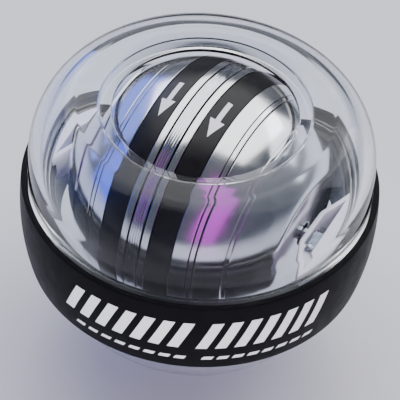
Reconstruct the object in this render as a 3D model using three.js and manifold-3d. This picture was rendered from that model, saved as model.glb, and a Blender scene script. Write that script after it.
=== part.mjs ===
// Gyroscopic wrist ball with a spring that starts its rotor.
// Millimetres, +Z up. The ball stands on its flat base at z = 0, centred on the Z axis.
import * as THREE from 'three';
import { mergeVertices } from 'three/addons/utils/BufferGeometryUtils.js';
import Module from 'manifold-3d';

const wasm = await Module();
wasm.setup();

// Rotor: a ball with flat ends, on an axle that lies in the plane of the guide ring.
const rotorRadius = 27;
const rotorEndShare = 0.474; // flat ends of the side caps
const axleAzimuth = THREE.MathUtils.degToRad(-27);
const centreRingHalfWidth = 1.3;
const centreRingDepth = 5.2;
const centreRingRibs = 4;
const ribDepth = 0.4;
const grooveLineWidth = 0.3; // dark line on each side of the centre ring
const shoulderWidth = 1.35; // plain chrome between that line and a tread band
const treadWidth = 4.9;
const treadThickness = 1.2;
const stripWidth = 3.1; // chrome between a tread band and a trim ring
const trimWidth = 0.8;
const capThickness = 1.2;
const capHoleRadius = 2.4;
const fitGap = 0.2; // between pieces of the rotor that lie against each other
const seamGap = 0.3; // between the two halves

// Mainspring, its drum and its hub.
const drumShare = 0.6; // of the rotor's radius
const drumWall = 1;
const drumPlate = 0.8; // floor and lid
const springHeight = 7.2;
const springThickness = 0.45;
const springTurns = 6;
const springEndGap = 0.35;
const arborRadius = 3.9;
const arborBoreClearance = 0.1;
const postRadius = 0.6;

// Shaft and the bushes on it.
const shaftRadius = 1.5;
const tipRadius = 1.3;
const tipChamfer = 0.3;
const tipGap = 0.3; // shaft end to the floor of the race
const runningClearance = 0.2;
const bushWall = 1.5;
const rotorBushLength = 5.6;

// Screws that join the halves.
const screwWall = 1.2; // metal between the drum's seat and a screw
const screwCount = 4;
const screwRadius = 1.2;
const screwHeadRadius = 2;
const screwHeadHeight = 1.8;
const screwSocketRadius = 1;
const screwSocketDepth = 0.9;
const screwSink = 0.9; // rotor's surface to a screw's head
const screwReach = 7; // seam to the end of a screw
const screwClearance = 0.3;

// Hollow in the inner face of each half, round the seat of its bush.
const corePocketInset = 2.1; // drum's seat to the hollow
const bushSeatWall = 2.5;
const corePocketFloor = 7.1;

// Guide ring, which carries the shaft and turns in the race.
const ringGap = 3.2; // rotor to ring
const ringHalfHeight = 1.2;
const raceHalfHeight = 1.5;
const ringBodyWidth = 1.2; // ring inside the race's mouth
const rimReach = 1.5; // ring inside the race
const rimGap = 0.3;
const bossHalfHeight = 3.2;
const bossHalfSpan = 12.8; // axle to the tip of a boss
const bossFlatHalf = 4.6; // half the straight stretch of its inner wall
const bossRunningGap = 1.2; // rotor's flat end to a boss
const bossRaceGap = 0.4;
const bossInnerWall = 1;
const bossOuterWall = 2.6; // at the axle
const sleeveWall = 0.8;
const sleeveInset = 0.2;
const tipSlotClearance = 0.4;

// Ratchet on the shaft and its leaf pawl in the right boss.
const ratchetRadius = 2.8;
const ratchetRootRadius = 2.1;
const ratchetTeeth = 8;
const ratchetThickness = 1.4;
const ratchetGap = 0.3; // wheel to the outer wall of the boss
const pawlThickness = 0.3;
const pawlWidth = 1.6;
const pawlEndGap = 0.24; // leaf's fixed end to the slanted end of the pocket
const pawlTipGap = 0.2;
const padLength = 1.7; // pad under the leaf's fixed end, along the leaf
const padGap = 0.25;
const rivetRadius = 0.4;
const rivetHeadRadius = 0.8;
const rivetHeadHeight = 0.45;
const rivetLength = 2.2;
const rivetClearance = 0.15;
const rivetInset = 0.9; // end of the leaf to the rivet's centre
const collarWall = 1.1;
const collarGap = 0.4; // collar to the walls of the left boss's pocket

// Clear shells. Both are turned about Z, and the race lies between them.
const ringRise = 1.5; // guide ring above the ball's widest level
const rotorUnderGap = 8.3; // rotor to the floor of the lower shell
const ledgeDepth = 0.8;
const ledgeThickness = 1.5;
const shellWall = 2.2;
const seamLineGap = 0.15;
const baseCut = 2.7; // what the flat base takes off the bowl's curve
const baseRecessRadius = 9;
const baseRecessDepth = 0.6;
const baseRecessChamfer = 0.3;
const shoulderRise = 10; // guide ring to the start of the dome's shoulder
const rotorProud = 4; // top of the rotor above the dome's crest
const openingGap = 0.8;
const openingDrop = 1.6; // crest to the edge of the opening
const creaseDrop = 0.8; // crest to the crease round the lip
const lipEdge = 0.8;
const lipSlope = 2.3;
const lipWidth = 4.5;

// Silicone band.
const bandGap = 0.2;
const bandThickness = 1.5;
const bandTopRise = 3.8; // guide ring to the band's top edge
const bandWidth = 18.4;
const bandCurveMargin = 5.3;
const bandEdgeRound = 0.35;

// Facets.
const shellSegments = 40;
const rotorSegments = 30;
const drumSegments = 24;
const sleeveSegments = 16;
const screwSegments = 12;
const rivetSegments = 10;
const bossArcSteps = 8;
const springStepsPerTurn = 16;
const shoulderSteps = 5;
const bowlSteps = 6;
const bandSteps = 4;
const arcSteps = 2;
const cutOverrun = 1;

// Sizes that follow from the ones above.
const rotorReach = rotorRadius * Math.sqrt(1 - rotorEndShare ** 2);
const drumRadius = rotorRadius * drumShare;
const ringInner = rotorRadius + ringGap;
const raceInner = ringInner + ringBodyWidth;
const ringOuter = raceInner + rimReach;
const raceOuter = ringOuter + rimGap;
const shellInner = raceInner + ledgeDepth;
const shellRadius = shellInner + shellWall;
const ballCentre = shellWall + rotorUnderGap + rotorRadius - ringRise;
const ringPlane = ballCentre + ringRise;
const bowlReach = ballCentre + baseCut;
const crest = ringPlane + rotorRadius - rotorProud;
const lipUnderside = crest - openingDrop - lipEdge;
const openingRadius = Math.sqrt(rotorRadius ** 2 - (lipUnderside - ringPlane) ** 2) + openingGap;
const creaseRadius = openingRadius + lipSlope;
const crestRadius = creaseRadius + lipWidth;
const shoulderStart = ringPlane + shoulderRise;
const bossInner = rotorReach + bossRunningGap;
const bossOuter = raceInner - bossRaceGap;
const bossTipReach = Math.sqrt(bossOuter ** 2 - bossHalfSpan ** 2);
const pocketInner = bossInner + bossInnerWall;
const pocketOuter = bossOuter - bossOuterWall;
const shaftReach = raceOuter - tipGap - rimGap;
const boreRadius = shaftRadius + runningClearance;
const treadStart = centreRingHalfWidth + grooveLineWidth + shoulderWidth;
const treadEnd = treadStart + treadWidth;
const trimStart = treadEnd + stripWidth;
const capStart = trimStart + trimWidth + fitGap;
const capSeatRadius = rotorRadius - capThickness - seamGap;
const halfReach = rotorReach - capThickness - seamGap;
const drumHalfLength = springHeight / 2 + 2 * springEndGap + drumPlate;
const coreHalfLength = drumHalfLength + seamGap;
const coreRadius = drumRadius + 2 * fitGap;
const rotorBushRadius = boreRadius + bushWall;
const rotorBoreRadius = rotorBushRadius + seamGap;
const screwCircleRadius = coreRadius + screwWall + screwRadius;
const screwHeadEdge = screwCircleRadius + screwHeadRadius + screwClearance;
const screwHeadReach = Math.sqrt(capSeatRadius ** 2 - screwHeadEdge ** 2) - screwSink;
const screwSeatDepth = screwHeadReach - screwHeadHeight - fitGap;

// Colours, as seen in daylight.
function finish(color, roughness, metalness = 0, opacity = 1) {
  return new THREE.MeshStandardMaterial({ color, roughness, metalness, opacity, transparent: opacity < 1 });
}
const clearPlastic = finish(0xe9eef2, 0.06, 0, 0.3);
const blackSilicone = finish(0x17171a, 0.55);
const blackRubber = finish(0x121214, 0.4);
const whitePlastic = finish(0xeceaf2, 0.35);
const chromedMetal = finish(0xd8dadf, 0.08, 1);
const brightSteel = finish(0xb9bcc2, 0.25, 1);
const springSteel = finish(0x8d93a0, 0.3, 1);
const bronze = finish(0xb08a4f, 0.35, 1);

// A geometry as a solid that can be joined and cut, and back.
function solid(geometry) {
  const bare = geometry.clone();
  bare.deleteAttribute('normal');
  bare.deleteAttribute('uv');
  const merged = mergeVertices(bare);
  const triVerts = new Uint32Array(merged.index.array);
  const vertProperties = new Float32Array(merged.attributes.position.array);
  return new wasm.Manifold(new wasm.Mesh({ numProp: 3, vertProperties, triVerts }));
}

function geometryOf(manifold) {
  const mesh = manifold.getMesh();
  const geometry = new THREE.BufferGeometry();
  geometry.setAttribute('position', new THREE.BufferAttribute(mesh.vertProperties, 3));
  geometry.setIndex(new THREE.BufferAttribute(mesh.triVerts, 1));
  return geometry;
}

function cut(geometry, ...tools) {
  return geometryOf(tools.reduce((body, tool) => body.subtract(solid(tool)), solid(geometry)));
}

function join(geometry, ...others) {
  return geometryOf(others.reduce((body, other) => body.add(solid(other)), solid(geometry)));
}

// A turned piece about Z. The profile is [radius, height] points, outer side upwards.
function turned(profile, segments) {
  const points = profile.map(([radius, height]) => new THREE.Vector2(radius, height));
  const open = points[0].x > 0 || points[points.length - 1].x > 0;
  if (open) {
    points.push(points[0].clone());
  }
  return new THREE.LatheGeometry(points, segments).rotateX(Math.PI / 2);
}

// A turned piece about the axle, which is the X axis of the rotor's own group.
function turnedOnAxle(profile, segments) {
  return turned(profile, segments).rotateY(Math.PI / 2);
}

function mirrorProfile(profile) {
  return profile.map(([radius, reach]) => [radius, -reach]).reverse();
}

function tube(inner, outer, from, to) {
  return [[inner, from], [outer, from], [outer, to], [inner, to]];
}

// Points of a ball's surface about the axle, between two places along it.
function ballArc(radius, from, to, steps) {
  const start = Math.asin(from / radius);
  const turn = Math.asin(to / radius) - start;
  return Array.from({ length: steps + 1 }, (_, i) => {
    const angle = start + (turn * i) / steps;
    return [radius * Math.cos(angle), radius * Math.sin(angle)];
  });
}

// Radius of an ellipse that is centred on the axis, at a height from its centre.
function ellipseRadius(halfWidth, halfHeight, height) {
  return halfWidth * Math.sqrt(1 - (height / halfHeight) ** 2);
}

// Shells. The upper one's lower face is the top of the race.
function upperShell() {
  const shoulder = (radius, height, steps) => Array.from({ length: steps + 1 }, (_, i) => {
    const angle = (Math.PI / 2) * (i / steps);
    return [
      crestRadius + (radius - crestRadius) * Math.cos(angle),
      shoulderStart + (height - shoulderStart) * Math.sin(angle),
    ];
  });
  const seam = ringPlane + raceHalfHeight;
  return turned([
    [raceInner, seam],
    [shellRadius, seam],
    ...shoulder(shellRadius, crest, shoulderSteps),
    [creaseRadius, crest - creaseDrop],
    [openingRadius, crest - openingDrop],
    [openingRadius, lipUnderside],
    ...shoulder(shellInner, crest - shellWall, shoulderSteps - 1).reverse(),
    [shellInner, seam + ledgeThickness],
    [raceInner, seam + ledgeThickness],
  ], shellSegments);
}

// The lower shell's rim stands outside the race and meets the upper shell behind the band.
function lowerShell() {
  const bowl = (halfWidth, halfHeight, low, steps) => Array.from({ length: steps + 1 }, (_, i) => {
    const lowAngle = Math.asin((low - ballCentre) / halfHeight);
    const angle = lowAngle * (1 - i / steps);
    return [halfWidth * Math.cos(angle), ballCentre + halfHeight * Math.sin(angle)];
  });
  const raceFloor = ringPlane - raceHalfHeight;
  const rimTop = ringPlane + raceHalfHeight - seamLineGap;
  const ledgeUnderside = raceFloor - ledgeThickness;
  const inside = bowl(shellInner, bowlReach - shellWall, shellWall, bowlSteps - 1);
  return turned([
    [0, baseRecessDepth],
    [baseRecessRadius, baseRecessDepth],
    [baseRecessRadius + baseRecessChamfer, 0],
    ...bowl(shellRadius, bowlReach, 0, bowlSteps),
    [shellRadius, rimTop],
    [raceOuter, rimTop],
    [raceOuter, raceFloor],
    [raceInner, raceFloor],
    [raceInner, ledgeUnderside],
    ...inside.filter(([, height]) => height < ledgeUnderside - ledgeDepth).concat(
      [[ellipseRadius(shellInner, bowlReach - shellWall, ledgeUnderside - ballCentre), ledgeUnderside]],
    ).reverse(),
    [0, shellWall],
  ], shellSegments);
}

function gripBand() {
  const top = ringPlane + bandTopRise;
  const bottom = top - bandWidth;
  const level = (share) => bottom + (top - bottom) * share;
  const outerRadius = (height) => ellipseRadius(
    shellRadius + bandGap + bandThickness,
    bowlReach + bandCurveMargin,
    height - ballCentre,
  );
  const innerRadius = (height) => bandGap
    + ellipseRadius(shellRadius, bowlReach, Math.min(height - ballCentre, 0));
  const steps = Array.from({ length: bandSteps + 1 }, (_, i) => i / bandSteps);
  const outside = steps.map((share) => {
    const height = level(share);
    return [outerRadius(height), height];
  });
  outside[0] = [outerRadius(bottom), bottom + bandEdgeRound];
  outside[bandSteps] = [outerRadius(top), top - bandEdgeRound];
  return turned([
    [outerRadius(bottom) - bandEdgeRound, bottom],
    ...outside,
    [outerRadius(top) - bandEdgeRound, top],
    [innerRadius(top), top],
    [innerRadius(ballCentre), ballCentre],
    ...steps.slice(0, bandSteps - 1).map((share) => [innerRadius(level(share)), level(share)]).reverse(),
  ], shellSegments);
}

// An upright plate with straight edges. The outline is [x, y] points.
function plate(outline, low, high) {
  const shape = new THREE.Shape(outline.map(([x, y]) => new THREE.Vector2(x, y)));
  return new THREE.ExtrudeGeometry(shape, { depth: high - low, bevelEnabled: false }).translate(0, 0, low);
}

// A crescent at the end of the axle: round outside, with a straight inner wall and slanted ends.
function crescent() {
  const tipAngle = Math.asin(bossHalfSpan / bossOuter);
  const shape = new THREE.Shape();
  shape.absarc(0, 0, bossOuter, -tipAngle, tipAngle, false);
  shape.lineTo(bossInner, bossFlatHalf);
  shape.lineTo(bossInner, -bossFlatHalf);
  const options = { depth: 2 * bossHalfHeight, bevelEnabled: false, curveSegments: bossArcSteps };
  return new THREE.ExtrudeGeometry(shape, options).translate(0, 0, -bossHalfHeight);
}

// Half the length of a boss's pocket, at a place along the axle.
function pocketHalf(reach) {
  const slant = (bossHalfSpan - bossFlatHalf) / (bossTipReach - bossInner);
  return bossFlatHalf + slant * (reach - bossInner) - bossInnerWall * Math.hypot(1, slant);
}

// A plain rod along the axle.
function axleRod(radius, from, to, segments) {
  return turnedOnAxle([[0, from], [radius, from], [radius, to], [0, to]], segments);
}

const padTop = ratchetRadius - pawlThickness - padGap - pawlThickness / 2;
const pawlMid = padTop + padGap + pawlThickness / 2;
const ratchetMid = pocketOuter - ratchetGap - ratchetThickness / 2;
const leafFar = pocketHalf(ratchetMid - pawlWidth / 2) - pawlEndGap;
const pawlLength = leafFar - pawlTipGap;
const rivetSpot = leafFar - rivetInset;

function guideRing() {
  const ring = turned(tube(ringInner, ringOuter, -ringHalfHeight, ringHalfHeight), shellSegments);
  const through = bossHalfHeight + cutOverrun;
  const inHalf = pocketHalf(pocketInner);
  const outHalf = pocketHalf(pocketOuter);
  const padEdge = leafFar - padLength;
  const pocket = [
    [pocketInner, -inHalf],
    [pocketOuter, -outHalf],
    [pocketOuter, outHalf],
    [pocketInner, inHalf],
  ];
  const pocketPastPad = [[pocketInner, -padEdge], [pocketOuter, -padEdge], pocket[2], pocket[3]];
  const wallBore = boreRadius + sleeveWall + runningClearance;
  const tipSlotHalf = tipRadius + tipSlotClearance;
  const slotFrom = bossOuter - cutOverrun / 2;
  const slotLength = ringOuter + cutOverrun - slotFrom;
  const tipSlot = new THREE.BoxGeometry(slotLength, 2 * tipSlotHalf, 2 * ringHalfHeight + cutOverrun)
    .translate(slotFrom + slotLength / 2, 0, 0);
  const rivetHole = new THREE.CylinderGeometry(
    rivetRadius + rivetClearance,
    rivetRadius + rivetClearance,
    2 * rivetLength,
    rivetSegments,
  ).rotateX(Math.PI / 2).translate(ratchetMid, -rivetSpot, pawlMid);
  return cut(
    join(ring, crescent(), crescent().rotateZ(Math.PI)),
    plate(pocket, -through, through).rotateZ(Math.PI),
    plate(pocketPastPad, -through, through),
    plate(pocket, padTop, through),
    axleRod(wallBore, pocketOuter - cutOverrun, bossOuter + cutOverrun, sleeveSegments),
    axleRod(wallBore, -bossOuter - cutOverrun, -pocketOuter + cutOverrun, sleeveSegments),
    axleRod(boreRadius, bossInner - cutOverrun, pocketInner + cutOverrun, sleeveSegments),
    axleRod(boreRadius, -pocketInner - cutOverrun, -bossInner + cutOverrun, sleeveSegments),
    tipSlot,
    tipSlot.clone().rotateZ(Math.PI),
    rivetHole,
  );
}

function shaftBush() {
  const from = pocketOuter + sleeveInset;
  const to = bossOuter - sleeveInset;
  return turnedOnAxle(tube(boreRadius, boreRadius + sleeveWall, from, to), sleeveSegments);
}

// The leaf lies along the right pocket, and its tip stands against a tooth of the ratchet wheel.
function pawlSpring() {
  const leaf = new THREE.BoxGeometry(pawlWidth, pawlLength, pawlThickness)
    .translate(ratchetMid, -pawlTipGap - pawlLength / 2, pawlMid);
  const hole = new THREE.CylinderGeometry(
    rivetRadius + rivetClearance,
    rivetRadius + rivetClearance,
    pawlThickness + cutOverrun,
    rivetSegments,
  ).rotateX(Math.PI / 2).translate(ratchetMid, -rivetSpot, pawlMid);
  return cut(leaf, hole);
}

function pawlRivet() {
  const underHead = pawlMid + pawlThickness / 2 + rivetClearance;
  return turned([
    [0, underHead - rivetLength],
    [rivetRadius, underHead - rivetLength],
    [rivetRadius, underHead],
    [rivetHeadRadius, underHead],
    [rivetHeadRadius, underHead + rivetHeadHeight / 2],
    [rivetRadius, underHead + rivetHeadHeight],
    [0, underHead + rivetHeadHeight],
  ], rivetSegments).translate(ratchetMid, -rivetSpot, 0);
}

function rotorShaft() {
  const neck = raceInner - tipSlotClearance;
  const end = shaftReach;
  return turnedOnAxle([
    [0, -end],
    [tipRadius - tipChamfer, -end],
    [tipRadius, -end + tipChamfer],
    [tipRadius, -neck],
    [shaftRadius, -neck],
    [shaftRadius, neck],
    [tipRadius, neck],
    [tipRadius, end - tipChamfer],
    [tipRadius - tipChamfer, end],
    [0, end],
  ], sleeveSegments);
}

// Each tooth has a straight face towards the pawl and a sloped back, so that the shaft turns one way only.
function ratchetWheel() {
  const corner = (radius, angle) => new THREE.Vector2(radius * Math.cos(angle), radius * Math.sin(angle));
  const shape = new THREE.Shape(Array.from({ length: ratchetTeeth }, (_, tooth) => {
    const angle = (2 * Math.PI * tooth) / ratchetTeeth;
    return [corner(ratchetRadius, angle), corner(ratchetRootRadius, angle)];
  }).flat());
  const bore = new THREE.Path();
  bore.absarc(0, 0, shaftRadius + arborBoreClearance, 0, 2 * Math.PI, true);
  shape.holes.push(bore);
  const options = { depth: ratchetThickness, bevelEnabled: false, curveSegments: sleeveSegments / 2 };
  return new THREE.ExtrudeGeometry(shape, options)
    .translate(0, 0, ratchetMid - ratchetThickness / 2)
    .rotateY(Math.PI / 2)
    .rotateX(Math.PI / 2);
}

function shaftCollar() {
  const inner = shaftRadius + arborBoreClearance;
  const outer = boreRadius + collarWall;
  const profile = tube(inner, outer, pocketInner + collarGap, pocketOuter - collarGap);
  return turnedOnAxle(mirrorProfile(profile), sleeveSegments);
}

function springArbor() {
  const inner = shaftRadius + arborBoreClearance;
  return turnedOnAxle(tube(inner, arborRadius, -drumHalfLength, drumHalfLength), sleeveSegments);
}

// Centre line of the mainspring, at a share of its length, as [radius, angle].
const springStart = arborRadius + springEndGap + springThickness / 2;
const springEnd = drumRadius - drumWall - 2 * postRadius;
function springPoint(share) {
  return [springStart + (springEnd - springStart) * share, 2 * Math.PI * springTurns * share];
}

// One unbroken ribbon of steel, wound about the axle.
function spiralSpring() {
  const count = springTurns * springStepsPerTurn;
  const edge = (side) => Array.from({ length: count + 1 }, (_, i) => {
    const [radius, angle] = springPoint(i / count);
    const reach = radius + (side * springThickness) / 2;
    return new THREE.Vector2(reach * Math.cos(angle), reach * Math.sin(angle));
  });
  const shape = new THREE.Shape([...edge(1), ...edge(-1).reverse()]);
  return new THREE.ExtrudeGeometry(shape, { depth: springHeight, bevelEnabled: false })
    .translate(0, 0, -springHeight / 2)
    .rotateY(Math.PI / 2);
}

// The least gap between neighbouring turns of the mainspring, on points one turn apart.
function springLeastGap() {
  const count = springTurns * springStepsPerTurn;
  let least = Infinity;
  for (let i = 0; i + springStepsPerTurn <= count; i += 1) {
    const [inner] = springPoint(i / count);
    const [outer] = springPoint((i + springStepsPerTurn) / count);
    least = Math.min(least, outer - inner - springThickness);
  }
  return least;
}
console.log(`mainspring: least gap between turns ${springLeastGap().toFixed(2)} mm`);

// The pin stands just past the spring's outer end.
function springPost() {
  const radius = springEnd;
  const angle = 2 * Math.PI * springTurns + (postRadius + springEndGap) / radius;
  const half = drumHalfLength - drumPlate - seamGap;
  return turned([[0, -half], [postRadius, -half], [postRadius, half], [0, half]], rivetSegments)
    .translate(radius * Math.cos(angle), radius * Math.sin(angle), 0)
    .rotateY(Math.PI / 2);
}

function springDrum() {
  const inner = drumRadius - drumWall;
  const hole = arborRadius + seamGap;
  const floor = -drumHalfLength + drumPlate;
  return turnedOnAxle([
    [hole, -drumHalfLength],
    [drumRadius, -drumHalfLength],
    [drumRadius, drumHalfLength - drumPlate - fitGap],
    [inner, drumHalfLength - drumPlate - fitGap],
    [inner, floor],
    [hole, floor],
  ], drumSegments);
}

function drumLid() {
  const profile = tube(arborRadius + seamGap, drumRadius, drumHalfLength - drumPlate, drumHalfLength);
  return turnedOnAxle(profile, drumSegments);
}

function rotorBush(side) {
  const profile = tube(boreRadius, rotorBushRadius, halfReach - rotorBushLength, halfReach - fitGap);
  return turnedOnAxle(side > 0 ? profile : mirrorProfile(profile), sleeveSegments);
}

// One half of the rotor, from the seam to its flat end, on the +X side.
function halfProfile() {
  const ringSeat = rotorRadius - centreRingDepth - seamGap;
  const seam = seamGap / 2;
  const treadSeat = rotorRadius - treadThickness;
  const onBall = (radius, reach) => [Math.sqrt(radius ** 2 - reach ** 2), reach];
  return [
    [coreRadius, seam],
    [ringSeat, seam],
    [ringSeat, centreRingHalfWidth + grooveLineWidth],
    ...ballArc(rotorRadius, centreRingHalfWidth + grooveLineWidth, treadStart, 1),
    ...ballArc(treadSeat, treadStart, treadEnd, arcSteps),
    ...ballArc(rotorRadius, treadEnd, trimStart - fitGap, arcSteps),
    onBall(capSeatRadius, trimStart - fitGap),
    ...ballArc(capSeatRadius, capStart, halfReach, arcSteps + 2),
    [rotorBoreRadius, halfReach],
    [rotorBoreRadius, coreHalfLength],
    [rotorBoreRadius + bushSeatWall, coreHalfLength],
    [rotorBoreRadius + bushSeatWall, halfReach - corePocketFloor],
    [coreRadius - corePocketInset, halfReach - corePocketFloor],
    [coreRadius - corePocketInset, coreHalfLength],
    [coreRadius, coreHalfLength],
  ];
}

// Places of the screws round the axle, as [y, z].
function screwPlaces() {
  return Array.from({ length: screwCount }, (_, i) => {
    const angle = (2 * Math.PI * (i + 1 / 2)) / screwCount;
    return [screwCircleRadius * Math.cos(angle), screwCircleRadius * Math.sin(angle)];
  });
}

function rotorHalf(side) {
  const body = turnedOnAxle(side > 0 ? halfProfile() : mirrorProfile(halfProfile()), rotorSegments);
  const shank = screwRadius + screwClearance;
  const tools = screwPlaces().flatMap(([y, z]) => {
    if (side > 0) {
      return [axleRod(shank, 0, screwReach + cutOverrun, screwSegments).translate(0, y, z)];
    }
    return [
      axleRod(shank, -screwSeatDepth - cutOverrun, 0, screwSegments).translate(0, y, z),
      axleRod(screwHeadRadius + screwClearance, -rotorReach, -screwSeatDepth, screwSegments)
        .translate(0, y, z),
    ];
  });
  return cut(body, ...tools);
}

function rotorScrew([y, z]) {
  const seat = -screwSeatDepth - fitGap;
  const top = seat - screwHeadHeight;
  const profile = [
    [0, top + screwSocketDepth],
    [screwSocketRadius, top + screwSocketDepth],
    [screwSocketRadius, top],
    [screwHeadRadius, top],
    [screwHeadRadius, seat],
    [screwRadius, seat],
    [screwRadius, screwReach],
    [0, screwReach],
  ];
  return turnedOnAxle(profile, screwSegments).translate(0, y, z);
}

// Ribs run round the centre ring's outer face.
function centreRing() {
  const inner = rotorRadius - centreRingDepth;
  const pitch = (2 * centreRingHalfWidth) / centreRingRibs;
  const ribs = Array.from({ length: centreRingRibs }, (_, i) => {
    const from = -centreRingHalfWidth + i * pitch;
    return [[rotorRadius - ribDepth, from], [rotorRadius, from + pitch / 2]];
  }).flat();
  return turnedOnAxle([
    [inner, -centreRingHalfWidth],
    ...ribs,
    [rotorRadius - ribDepth, centreRingHalfWidth],
    [inner, centreRingHalfWidth],
  ], rotorSegments);
}

function ballBand(innerRadius, outerRadius, from, to, steps) {
  return [
    ...ballArc(outerRadius, from, to, steps),
    ...ballArc(innerRadius, from, to, steps).reverse(),
  ];
}

function onSide(side, profile) {
  return turnedOnAxle(side > 0 ? profile : mirrorProfile(profile), rotorSegments);
}

function treadBand(side) {
  const inner = rotorRadius - treadThickness + fitGap;
  return onSide(side, ballBand(inner, rotorRadius, treadStart + fitGap, treadEnd - fitGap, arcSteps));
}

function trimRing(side) {
  const inner = capSeatRadius + seamGap;
  return onSide(side, ballBand(inner, rotorRadius, trimStart, trimStart + trimWidth, 1));
}

function sideCap(side) {
  const inner = rotorRadius - capThickness;
  const innerReach = rotorReach - capThickness;
  return onSide(side, [
    ...ballArc(rotorRadius, capStart, rotorReach, arcSteps + 2),
    [capHoleRadius, rotorReach],
    [capHoleRadius, innerReach],
    ...ballArc(inner, capStart, innerReach, arcSteps + 2).reverse(),
  ]);
}

// The assembly.
const ball = new THREE.Group();
const mechanism = new THREE.Group();
mechanism.position.z = ringPlane;
mechanism.rotation.z = axleAzimuth;
ball.add(mechanism);

function place(parent, name, geometry, material) {
  const mesh = new THREE.Mesh(geometry, material);
  mesh.name = name;
  parent.add(mesh);
}

place(ball, 'upper_shell', upperShell(), clearPlastic);
place(ball, 'lower_shell', lowerShell(), clearPlastic);
place(ball, 'grip_band', gripBand(), blackSilicone);

place(mechanism, 'guide_ring', guideRing(), whitePlastic);
place(mechanism, 'shaft_bush_right', shaftBush(), bronze);
place(mechanism, 'shaft_bush_left', shaftBush().rotateZ(Math.PI), bronze);
place(mechanism, 'pawl_spring', pawlSpring(), springSteel);
place(mechanism, 'pawl_rivet', pawlRivet(), brightSteel);

place(mechanism, 'rotor_shaft', rotorShaft(), brightSteel);
place(mechanism, 'ratchet_wheel', ratchetWheel(), brightSteel);
place(mechanism, 'shaft_collar', shaftCollar(), brightSteel);
place(mechanism, 'spring_arbor', springArbor(), brightSteel);
place(mechanism, 'spiral_spring', spiralSpring(), springSteel);

place(mechanism, 'spring_drum', springDrum(), brightSteel);
place(mechanism, 'drum_lid', drumLid(), brightSteel);
place(mechanism, 'spring_post', springPost(), brightSteel);
place(mechanism, 'centre_ring', centreRing(), chromedMetal);
for (const [name, side] of [['left', -1], ['right', 1]]) {
  place(mechanism, `rotor_half_${name}`, rotorHalf(side), chromedMetal);
  place(mechanism, `rotor_bush_${name}`, rotorBush(side), bronze);
  place(mechanism, `tread_band_${name}`, treadBand(side), blackRubber);
  place(mechanism, `trim_ring_${name}`, trimRing(side), chromedMetal);
  place(mechanism, `side_cap_${name}`, sideCap(side), chromedMetal);
}
screwPlaces().forEach((spot, i) => {
  place(mechanism, `rotor_screw_${i + 1}`, rotorScrew(spot), brightSteel);
});

export default ball;
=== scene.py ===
"""Gyroscopic wrist ball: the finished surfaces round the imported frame, with its studio and camera."""

import bmesh
import bpy
from math import asin, cos, hypot, pi, radians, sin, sqrt, tan
from mathutils import Matrix, Quaternion, Vector


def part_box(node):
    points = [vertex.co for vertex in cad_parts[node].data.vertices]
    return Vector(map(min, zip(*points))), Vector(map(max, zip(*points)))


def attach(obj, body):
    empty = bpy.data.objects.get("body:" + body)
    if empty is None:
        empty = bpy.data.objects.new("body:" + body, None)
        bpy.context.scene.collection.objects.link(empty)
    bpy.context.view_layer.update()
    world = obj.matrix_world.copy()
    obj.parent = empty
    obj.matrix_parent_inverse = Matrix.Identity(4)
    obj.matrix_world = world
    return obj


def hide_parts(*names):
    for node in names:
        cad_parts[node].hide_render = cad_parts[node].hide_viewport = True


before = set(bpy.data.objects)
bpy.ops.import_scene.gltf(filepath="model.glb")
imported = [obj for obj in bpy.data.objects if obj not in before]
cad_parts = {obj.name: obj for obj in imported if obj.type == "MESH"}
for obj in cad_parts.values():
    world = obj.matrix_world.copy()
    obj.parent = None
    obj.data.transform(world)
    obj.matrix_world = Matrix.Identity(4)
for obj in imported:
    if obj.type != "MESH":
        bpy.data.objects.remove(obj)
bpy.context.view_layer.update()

MM = 0.001
FULL = 2 * pi
MERGE_DISTANCE = 0.001 * MM

# Sizes of the real ball, in metres.
ROTOR_RADIUS = 27 * MM
CAP_FLAT_RADIUS = 12.8 * MM
CAP_THICKNESS = 1.2 * MM
CAP_HOLE_RADIUS = 2.4 * MM
GROOVE_START = 16.6 * MM
GROOVE_END = 17.4 * MM
GROOVE_DEPTH = 0.3 * MM
AXLE_AZIMUTH = radians(-27)
RING_HALF_WIDTH = 1.3 * MM
DARK_LINE = 0.3 * MM
SHOULDER = 1.35 * MM
TREAD_WIDTH = 4.9 * MM
TREAD_THICKNESS = 1.2 * MM
STRIP_WIDTH = 3.1 * MM
TRIM_WIDTH = 0.8 * MM
FIT_GAP = 0.2 * MM
SEAM_GAP = 0.3 * MM
RIB_DEPTH = 0.3 * MM
RIBS = 5
SHELL_WALL = 2.2 * MM
RING_ABOVE_CENTRE = 1.5 * MM
RACE_HALF = 1.5 * MM
BAND_THICKNESS = 1.45 * MM
BAND_GAP = 0.2 * MM

# Places that follow from the frame.
upper_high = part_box("upper_shell")[1]
ring_low, ring_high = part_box("guide_ring")
band_low, band_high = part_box("grip_band")
CREST = upper_high.z
RING_PLANE = (ring_low.z + ring_high.z) / 2
BOSS_HALF = (ring_high.z - ring_low.z) / 2
BALL_CENTRE = RING_PLANE - RING_ABOVE_CENTRE
SHELL_RADIUS = upper_high.x
SHELL_INNER = SHELL_RADIUS - SHELL_WALL
RING_OUTER = 32.9 * MM
RING_INNER = 30.2 * MM
RING_HALF = 1.2 * MM
RACE_INNER = 31.4 * MM
RACE_OUTER = 33.2 * MM
ROTOR_REACH = sqrt(ROTOR_RADIUS**2 - CAP_FLAT_RADIUS**2)
TREAD_START = RING_HALF_WIDTH + DARK_LINE + SHOULDER
TREAD_END = TREAD_START + TREAD_WIDTH
TRIM_START = TREAD_END + STRIP_WIDTH
CAP_START = TRIM_START + TRIM_WIDTH + FIT_GAP

# Rotor pieces are made about Z and then laid along the axle.
AXLE = Matrix.Translation((0, 0, RING_PLANE)) @ Matrix.Rotation(AXLE_AZIMUTH, 4, "Z")
ON_AXLE = AXLE @ Matrix.Rotation(pi / 2, 4, "Y")


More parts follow.
